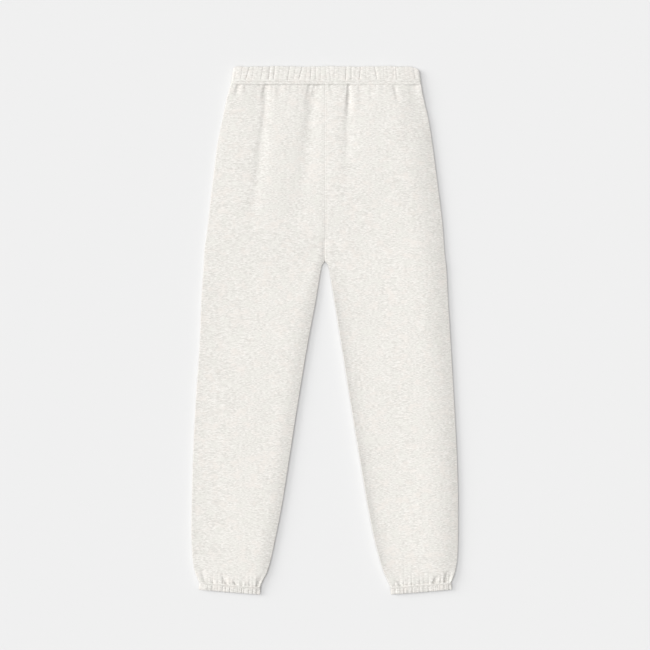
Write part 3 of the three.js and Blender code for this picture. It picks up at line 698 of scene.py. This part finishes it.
def heather_group():
    """Knitted cloth spun from light and darker fibres: short streaks along the courses, soft mottling,
    and the fine relief of its surface."""
    group = bpy.data.node_groups.new("heather_knit", "ShaderNodeTree")
    for name, kind, value in (
        ("Light", "NodeSocketColor", (0.8, 0.8, 0.8, 1)),
        ("Dark", "NodeSocketColor", (0.6, 0.6, 0.6, 1)),
        ("Warm", "NodeSocketColor", (0.8, 0.7, 0.6, 1)),
        ("Cool", "NodeSocketColor", (0.7, 0.7, 0.7, 1)),
        ("Streaks", "NodeSocketFloat", 1.0),
        ("Mottling", "NodeSocketFloat", 1.0),
    ):
        socket = group.interface.new_socket(name, in_out="INPUT", socket_type=kind)
        socket.default_value = value
    for name, kind in (
        ("Color", "NodeSocketColor"),
        ("Height", "NodeSocketFloat"),
        ("Roughness", "NodeSocketFloat"),
    ):
        group.interface.new_socket(name, in_out="OUTPUT", socket_type=kind)
    inputs = node(group, "NodeGroupInput")
    outputs = node(group, "NodeGroupOutput")
    coords = node(group, "ShaderNodeTexCoord")
    link = group.links.new

    def noise(stretch, detail, roughness, turn=0.0):
        """Noise over the cloth, with so many cells to the metre along each axis."""
        mapping = node(group, "ShaderNodeMapping")
        mapping.inputs["Scale"].default_value = stretch
        mapping.inputs["Rotation"].default_value = (0, 0, turn)
        link(coords.outputs["Object"], mapping.inputs["Vector"])
        made = node(group, "ShaderNodeTexNoise", {"Scale": 1.0, "Detail": detail, "Roughness": roughness})
        link(mapping.outputs["Vector"], made.inputs["Vector"])
        return made.outputs["Fac"]

    def spread(fac, low, high, to_low=0.0, to_high=1.0):
        """fac from low to high, spread from to_low to to_high."""
        made = node(
            group,
            "ShaderNodeMapRange",
            {"From Min": low, "From Max": high, "To Min": to_low, "To Max": to_high},
            clamp=True,
        )
        link(fac, made.inputs["Value"])
        return made.outputs["Result"]

    def times(a, b, operation="MULTIPLY"):
        made = node(group, "ShaderNodeMath", operation=operation)
        for value, socket in ((a, made.inputs[0]), (b, made.inputs[1])):
            if isinstance(value, float):
                socket.default_value = value
            else:
                link(value, socket)
        return made.outputs[0]

    def mix(fac, a, b):
        made = node(group, "ShaderNodeMix", data_type="RGBA")
        link(fac, made.inputs[0])
        link(a, made.inputs[6])
        link(b, made.inputs[7])
        return made.outputs[2]

    streaks = noise((170, 760, 300), 2.0, 0.65)
    fibres = noise((420, 1500, 900), 1.0, 0.5, 0.15)
    patches = noise((24, 30, 30), 2.0, 0.6)
    warmth = noise((55, 75, 60), 2.0, 0.6, 0.3)
    streak = times(spread(streaks, 0.38, 0.64), inputs.outputs["Streaks"])
    color = mix(streak, inputs.outputs["Dark"], inputs.outputs["Light"])
    fibre = times(spread(fibres, 0.56, 0.72, 0.0, 0.5), inputs.outputs["Streaks"])
    color = mix(fibre, color, inputs.outputs["Dark"])
    patch = times(spread(patches, 0.35, 0.7, 0.0, 0.14), inputs.outputs["Mottling"])
    color = mix(patch, color, inputs.outputs["Light"])
    warm = times(spread(warmth, 0.5, 0.7, 0.0, 0.6), inputs.outputs["Mottling"])
    color = mix(warm, color, inputs.outputs["Warm"])
    cool = times(spread(warmth, 0.5, 0.3, 0.0, 0.6), inputs.outputs["Mottling"])
    color = mix(cool, color, inputs.outputs["Cool"])
    wales = node(
        group,
        "ShaderNodeTexWave",
        {"Scale": 340.0, "Distortion": 1.2, "Detail": 1.0, "Detail Scale": 2.0},
        bands_direction="X",
    )
    link(coords.outputs["Object"], wales.inputs["Vector"])
    relief = times(times(streaks, 0.6), times(wales.outputs["Fac"], 0.25), "ADD")
    relief = times(relief, times(fibres, 0.35), "ADD")
    link(color, outputs.inputs["Color"])
    link(relief, outputs.inputs["Height"])
    link(spread(streaks, 0.3, 0.7, 0.98, 0.86), outputs.inputs["Roughness"])
    return group


def cloth_material(name, group, light, dark, warm, cool, streaks, mottling, bump):
    material = bpy.data.materials.new(name)
    material.use_nodes = True
    tree = material.node_tree
    shader = tree.nodes["Principled BSDF"]
    shader.inputs["Sheen Weight"].default_value = 0.08
    shader.inputs["Sheen Roughness"].default_value = 0.6
    shader.inputs["Specular IOR Level"].default_value = 0.2
    knit = node(tree, "ShaderNodeGroup", node_tree=group)
    values = {"Light": light, "Dark": dark, "Warm": warm, "Cool": cool}
    values.update({"Streaks": streaks, "Mottling": mottling})
    for socket, value in values.items():
        knit.inputs[socket].default_value = value
    surface = node(tree, "ShaderNodeBump", {"Strength": bump, "Distance": 0.0004})
    tree.links.new(knit.outputs["Height"], surface.inputs["Height"])
    tree.links.new(surface.outputs["Normal"], shader.inputs["Normal"])
    tree.links.new(knit.outputs["Color"], shader.inputs["Base Color"])
    tree.links.new(knit.outputs["Roughness"], shader.inputs["Roughness"])
    return material


def floor():
    """A plain pale floor, whose far edge lies near the horizon also in a view from low down."""
    bm = bmesh.new()
    bmesh.ops.create_grid(bm, x_segments=1, y_segments=1, size=60)
    mesh = bpy.data.meshes.new("floor")
    bm.to_mesh(mesh)
    bm.free()
    made = bpy.data.objects.new("floor", mesh)
    bpy.context.scene.collection.objects.link(made)
    material = bpy.data.materials.new("pale_floor")
    material.use_nodes = True
    shader = material.node_tree.nodes["Principled BSDF"]
    shader.inputs["Base Color"].default_value = (0.6, 0.6, 0.6, 1)
    shader.inputs["Roughness"].default_value = 1.0
    shader.inputs["Specular IOR Level"].default_value = 0.0
    mesh.materials.append(material)


def sun(name, azimuth, elevation, strength, softness):
    """A light, and where it stands: azimuth from +X towards +Y, elevation and softness in degrees."""
    data = bpy.data.lights.new(name, "SUN")
    data.energy = strength
    data.angle = math.radians(softness)
    made = bpy.data.objects.new(name, data)
    a, e = math.radians(azimuth), math.radians(elevation)
    towards = Vector((math.cos(a) * math.cos(e), math.sin(a) * math.cos(e), math.sin(e)))
    made.rotation_euler = towards.to_track_quat("Z", "Y").to_euler()
    bpy.context.scene.collection.objects.link(made)


def studio():
    """Soft light from above, a lower one from the left, and a plain surround."""
    sun("overhead_light", azimuth=160, elevation=80, strength=2.78, softness=60)
    sun("left_light", azimuth=163, elevation=24, strength=2.34, softness=34)
    world = bpy.data.worlds.new("studio")
    world.use_nodes = True
    background = world.node_tree.nodes["Background"]
    background.inputs["Color"].default_value = (1, 1, 1, 1)
    background.inputs["Strength"].default_value = 0.278
    bpy.context.scene.world = world
    bpy.context.scene.view_settings.view_transform = "Standard"


def camera():
    """Straight above, with a frame 1.3 m across and its middle a little above the garment's."""
    data = bpy.data.cameras.new("camera")
    data.lens, data.sensor_width = 100, 36
    made = bpy.data.objects.new("camera", data)
    frame_width, frame_middle_down = 1.3, 517
    made.location = (SEAM_X, TOP_Y - frame_middle_down * MM, frame_width * data.lens / data.sensor_width)
    bpy.context.scene.collection.objects.link(made)
    bpy.context.scene.camera = made


def seam_stitches(casing_rows):
    """A row on each side of the waist seam, the centre seam and the hem seams, on the back and underneath."""
    sunk = THREAD * 0.1

    def holes(side, distance, across, down, drop=0):
        return place(across, down + drop, height(side, distance, down, across) - facing * sunk)

    def on_section(side, across, down):
        return holes(side, abs(leg_section(side, down)[0] - across), across, down)

    made = []
    for which, height, facing in (("back", back_height, 1), ("front", front_height, -1)):
        centre, waist, hems = [], [], []
        for side in (-1, 1):
            hand = "left" if side < 0 else "right"
            end = float(outline(f"outer_{hand}", np.array([WAIST_ROW]))[0]) - WAIST_ROW_ENDS[1]
            across = side * np.arange(WAIST_ROW_ENDS[0], end, STITCH)
            waist.append(on_section(side, across, np.full_like(across, WAIST_ROW)))
            down = np.arange(CENTRE_ROW_TOP, CENTRE_ROW_FOOT, STITCH)
            centre.append(on_section(side, np.full_like(down, side * CENTRE_ROW), down))
            level = np.array([HEM - HEM_ROW])
            start, run_x, run_down, width = (float(value[0]) for value in leg_section(side, level))
            distance = np.arange(HEM_ROW_ENDS, width - HEM_ROW_ENDS, STITCH)
            down = np.full_like(distance, level[0])
            hems.append(holes(side, distance, start + distance * run_x, down, distance * run_down))
        made.append(stitches(f"stitches_centre_{which}", centre))
        made.append(stitches(f"stitches_waist_{which}", waist + casing_rows["waist"][which]))
        made.append(stitches(f"stitches_hems_{which}", hems + casing_rows["hems"][which]))
    return made


floor()
studio()
camera()
knit_group = heather_group()
fleece = cloth_material(
    "oatmeal_heather_fleece",
    knit_group,
    light=(0.684, 0.668, 0.640, 1),
    dark=(0.486, 0.472, 0.443, 1),
    warm=(0.626, 0.590, 0.553, 1),
    cool=(0.594, 0.588, 0.549, 1),
    streaks=1.0,
    mottling=1.0,
    bump=0.5,
)
thread = cloth_material(
    "sewing_thread",
    knit_group,
    light=(0.64, 0.625, 0.59, 1),
    dark=(0.54, 0.52, 0.48, 1),
    warm=(0.60, 0.58, 0.54, 1),
    cool=(0.58, 0.58, 0.54, 1),
    streaks=0.6,
    mottling=0.3,
    bump=0.2,
)
panels = fleece_pieces()
waistbands, waist_rows = waistband_pieces()
cuffs, hem_rows = cuff_pieces()
for cloth in [*panels, *waistbands, *cuffs]:
    cloth.data.materials.append(fleece)
for row in seam_stitches({"waist": waist_rows, "hems": hem_rows}):
    row.data.materials.append(thread)
